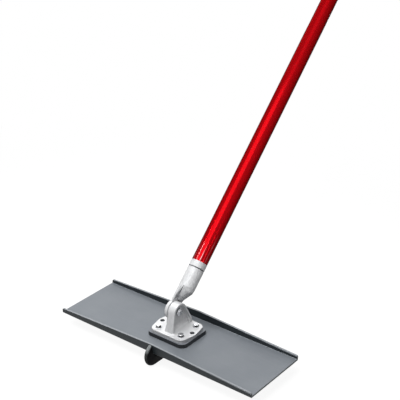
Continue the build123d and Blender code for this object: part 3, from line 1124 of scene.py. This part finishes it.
@dataclass
class Handle:
    """The swivel socket, the adapter in it, the long tube with its cap, and the snap button."""

    line: TubeLine = TubeLine()
    socket_mouth: float = 123.0 * MM
    collar_length: float = 19.5 * MM
    seam_width: float = 2.6 * MM
    seam_rise: float = 0.65 * MM
    tongue_side: float = -7.0 * MM
    leaf_colour: Colour = (0.4, 0.4, 0.42)
    leaf_dull: Colour = (0.3, 0.3, 0.32)
    merge_distance: float = 0.001 * MM
    crease: float = math.radians(30.0)

    def leaf(self) -> bpy.types.Object:
        """Copy the leaf spring, with the corners of its triangles merged.

        Returns:
            The copy, in its own finish.
        """
        piece = bpy.data.objects.new("button_leaf", frame["nodes"]["button_spring"].data.copy())
        bpy.context.scene.collection.objects.link(piece)
        shape = bmesh.new()
        shape.from_mesh(piece.data)
        bmesh.ops.remove_doubles(shape, verts=shape.verts, dist=self.merge_distance)
        shape.to_mesh(piece.data)
        shape.free()
        piece.data.shade_smooth()
        piece.data.set_sharp_from_angle(angle=self.crease)
        steel = ZincPlate("spring_steel_strip", self.leaf_colour, self.leaf_dull)
        piece.data.materials.clear()
        piece.data.materials.append(steel.build())
        return piece

    def spring(self) -> None:
        """Put a copy of the leaf spring on the handle in place of the imported one."""
        joints = frame["record"]["behaviour"]["joints"]
        press = next(joint for joint in joints if joint["name"] == "button_press")
        axis = Vector(press["axis"])
        piece = self.leaf()
        corners = sorted((vertex.co.copy() for vertex in piece.data.vertices), key=axis.dot)
        height = axis.dot(corners[-1] - corners[0])
        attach(piece, Body.HANDLE.value)
        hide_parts("button_spring")
        1.0 - max(press["range_m"]) / height
        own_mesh(piece)
        LOG.info("%s gives way over %.1f mm", piece.name, height / MM)

    def build(self) -> None:
        """Dress the handle's solids, and put a copy of the leaf spring in place of the imported one."""
        skin = SocketSkin(
            name="cast_socket_skin",
            line=self.line,
            seam=self.socket_mouth + self.seam_rise,
            seam_width=self.seam_width,
            tongue_side=self.tongue_side,
        ).build()
        dress("swivel_socket", skin)
        dress("handle_adapter", skin)
        dress("handle_tube", RedTube(self.line, self.socket_mouth + self.collar_length).build())
        dress("end_cap", BlackRubber().build())
        dress("snap_button", ZincPlate("zinc_button").build())
        self.spring()


@dataclass(frozen=True)
class Lamp:
    """One soft area light: where its middle hangs, its width and length, and its power."""

    name: str
    place: Triple
    size: tuple[float, float]
    watts: float


@dataclass
class Studio:
    """Camera, soft lights, pale floor and white surroundings."""

    tube_axis: Vector
    target: Triple = (0.0503, 0.0396, 0.3963)
    azimuth: float = math.radians(38.07)
    elevation: float = math.radians(25.07)
    distance: float = 2.482
    lens: float = 90.0
    sensor: float = 36.0
    clip_end: float = 100.0
    floor_level: float = -0.0413
    floor_radius: float = 9.0
    floor_facets: int = 96
    shadow_run: Band = (1.8, 0.9)
    floor_grey: float = 0.14
    floor_glow: float = 0.91
    ambient: float = 0.06
    aim: Triple = (0.0, 0.15, 0.2)
    lamps: tuple[Lamp, ...] = (
        Lamp("key", (0.03, -0.56, 1.56), (1.45, 1.05), 24.5),
        Lamp("top", (0.4, 0.3, 2.0), (1.0, 1.0), 4.0),
        Lamp("streak_left", (-0.712, -0.624, 1.283), (0.06, 0.25), 2.6),
        Lamp("streak_right", (0.388, -0.716, 1.377), (0.06, 0.25), 2.6),
        Lamp("streak_side", (1.365, -0.116, 0.768), (0.06, 0.22), 1.4),
        Lamp("front", (-0.6, -1.9, 0.9), (0.8, 0.8), 7.0),
        Lamp("back", (-1.8, 1.2, 1.7), (1.2, 1.2), 8.0),
        Lamp("fill", (-0.8, 2.6, 0.5), (1.6, 1.0), 14.0),
    )

    def back(self) -> Vector:
        """Unit vector from the target to the camera."""
        level = Vector((math.sin(self.azimuth), -math.cos(self.azimuth), 0.0))
        return level * math.cos(self.elevation) + Vector((0.0, 0.0, math.sin(self.elevation)))

    def camera(self) -> None:
        """Put the camera at the photograph's angle."""
        data = bpy.data.cameras.new("camera")
        data.lens = self.lens
        data.sensor_width = self.sensor
        data.clip_end = self.clip_end
        camera = bpy.data.objects.new("camera", data)
        camera.rotation_mode = "QUATERNION"
        camera.location = Vector(self.target) + self.back() * self.distance
        camera.rotation_quaternion = (-self.back()).to_track_quat("-Z", "Y")
        bpy.context.scene.collection.objects.link(camera)
        bpy.context.scene.camera = camera

    def hang(self, lamp: Lamp) -> None:
        """Hang one lamp that faces the handle's lower end, with its long side along the tube.

        Args:
            lamp: Its settings.
        """
        data = bpy.data.lights.new(lamp.name, "AREA")
        data.shape = "RECTANGLE"
        data.size, data.size_y = lamp.size
        data.energy = lamp.watts
        light = bpy.data.objects.new(lamp.name, data)
        place = Vector(lamp.place)
        away = (place - Vector(self.aim)).normalized()
        across = self.tube_axis.cross(away).normalized()
        light.rotation_mode = "QUATERNION"
        light.rotation_quaternion = Matrix((across, away.cross(across), away)).transposed().to_quaternion()
        light.location = place
        light.visible_camera = False
        bpy.context.scene.collection.objects.link(light)

    @staticmethod
    def seen(make: TreeMaker) -> Reading:
        """1 for rays that show the surroundings as such: camera, glossy and transmission rays.

        Args:
            make: The tree it is read in.

        Returns:
            The mask.
        """
        path = make.node("ShaderNodeLightPath")
        camera = make.reading(path.outputs["Is Camera Ray"])
        glossy = make.reading(path.outputs["Is Glossy Ray"])
        through = make.reading(path.outputs["Is Transmission Ray"])
        return camera.at_least(glossy).at_least(through)

    def pale(self) -> bpy.types.Material:
        """The floor's finish: a soft shadow near the object, and white further out.

        Returns:
            The finished material.
        """
        make = Finisher("pale_floor")
        far = make.node("ShaderNodeVectorMath", {"operation": "LENGTH"}, {0: make.place()})
        near = make.reading(far.outputs["Value"]).fade(*self.shadow_run)
        shade = make.mix(near, grey(0.0), grey(self.floor_grey))
        light = make.mix(near, grey(1.0), grey(self.floor_glow))
        lit = make.node("ShaderNodeBsdfDiffuse", None, {"Color": shade})
        glow = make.node("ShaderNodeEmission", None, {"Color": light})
        shown = make.node("ShaderNodeAddShader", None, {0: lit.outputs[0], 1: glow.outputs[0]})
        dull = make.node("ShaderNodeBsdfDiffuse", None, {"Color": opaque(grey(self.floor_grey))})
        shaders = {0: self.seen(make), 1: dull.outputs[0], 2: shown.outputs[0]}
        both = make.node("ShaderNodeMixShader", None, shaders)
        make.node("ShaderNodeOutputMaterial", None, {"Surface": both.outputs[0]})
        return make.material

    def floor(self) -> None:
        """Lay the floor under the bit."""
        mesh = bpy.data.meshes.new("floor")
        shape = bmesh.new()
        bmesh.ops.create_circle(shape, cap_ends=True, segments=self.floor_facets, radius=self.floor_radius)
        bmesh.ops.translate(shape, verts=shape.verts, vec=(0.0, 0.0, self.floor_level))
        shape.to_mesh(mesh)
        shape.free()
        mesh.materials.append(self.pale())
        floor = bpy.data.objects.new("floor", mesh)
        bpy.context.scene.collection.objects.link(floor)

    def world(self) -> None:
        """White surroundings for what looks at them, and a weak even light for the rest."""
        world = bpy.data.worlds.new("white_surroundings")
        world.use_nodes = True
        make = TreeMaker(world.node_tree)
        level = self.seen(make).between(self.ambient, 1.0)
        sky = make.node("ShaderNodeBackground", None, {"Color": opaque(grey(1.0)), "Strength": level})
        make.node("ShaderNodeOutputWorld", None, {"Surface": sky.outputs[0]})
        bpy.context.scene.world = world

    def build(self) -> None:
        """Set up the studio."""
        bpy.context.scene.view_settings.view_transform = "Standard"
        self.camera()
        self.floor()
        self.world()
        for lamp in self.lamps:
            self.hang(lamp)


def main() -> None:
    """Build the sub-assemblies and the studio."""
    logging.basicConfig(level=logging.INFO, format="%(name)s: %(message)s")
    CuttingBlade().build()
    Bracket().build()
    Pivot().build()
    handle = Handle()
    handle.build()
    Studio(handle.line.axis()).build()


if __name__ == "__main__":
    main()
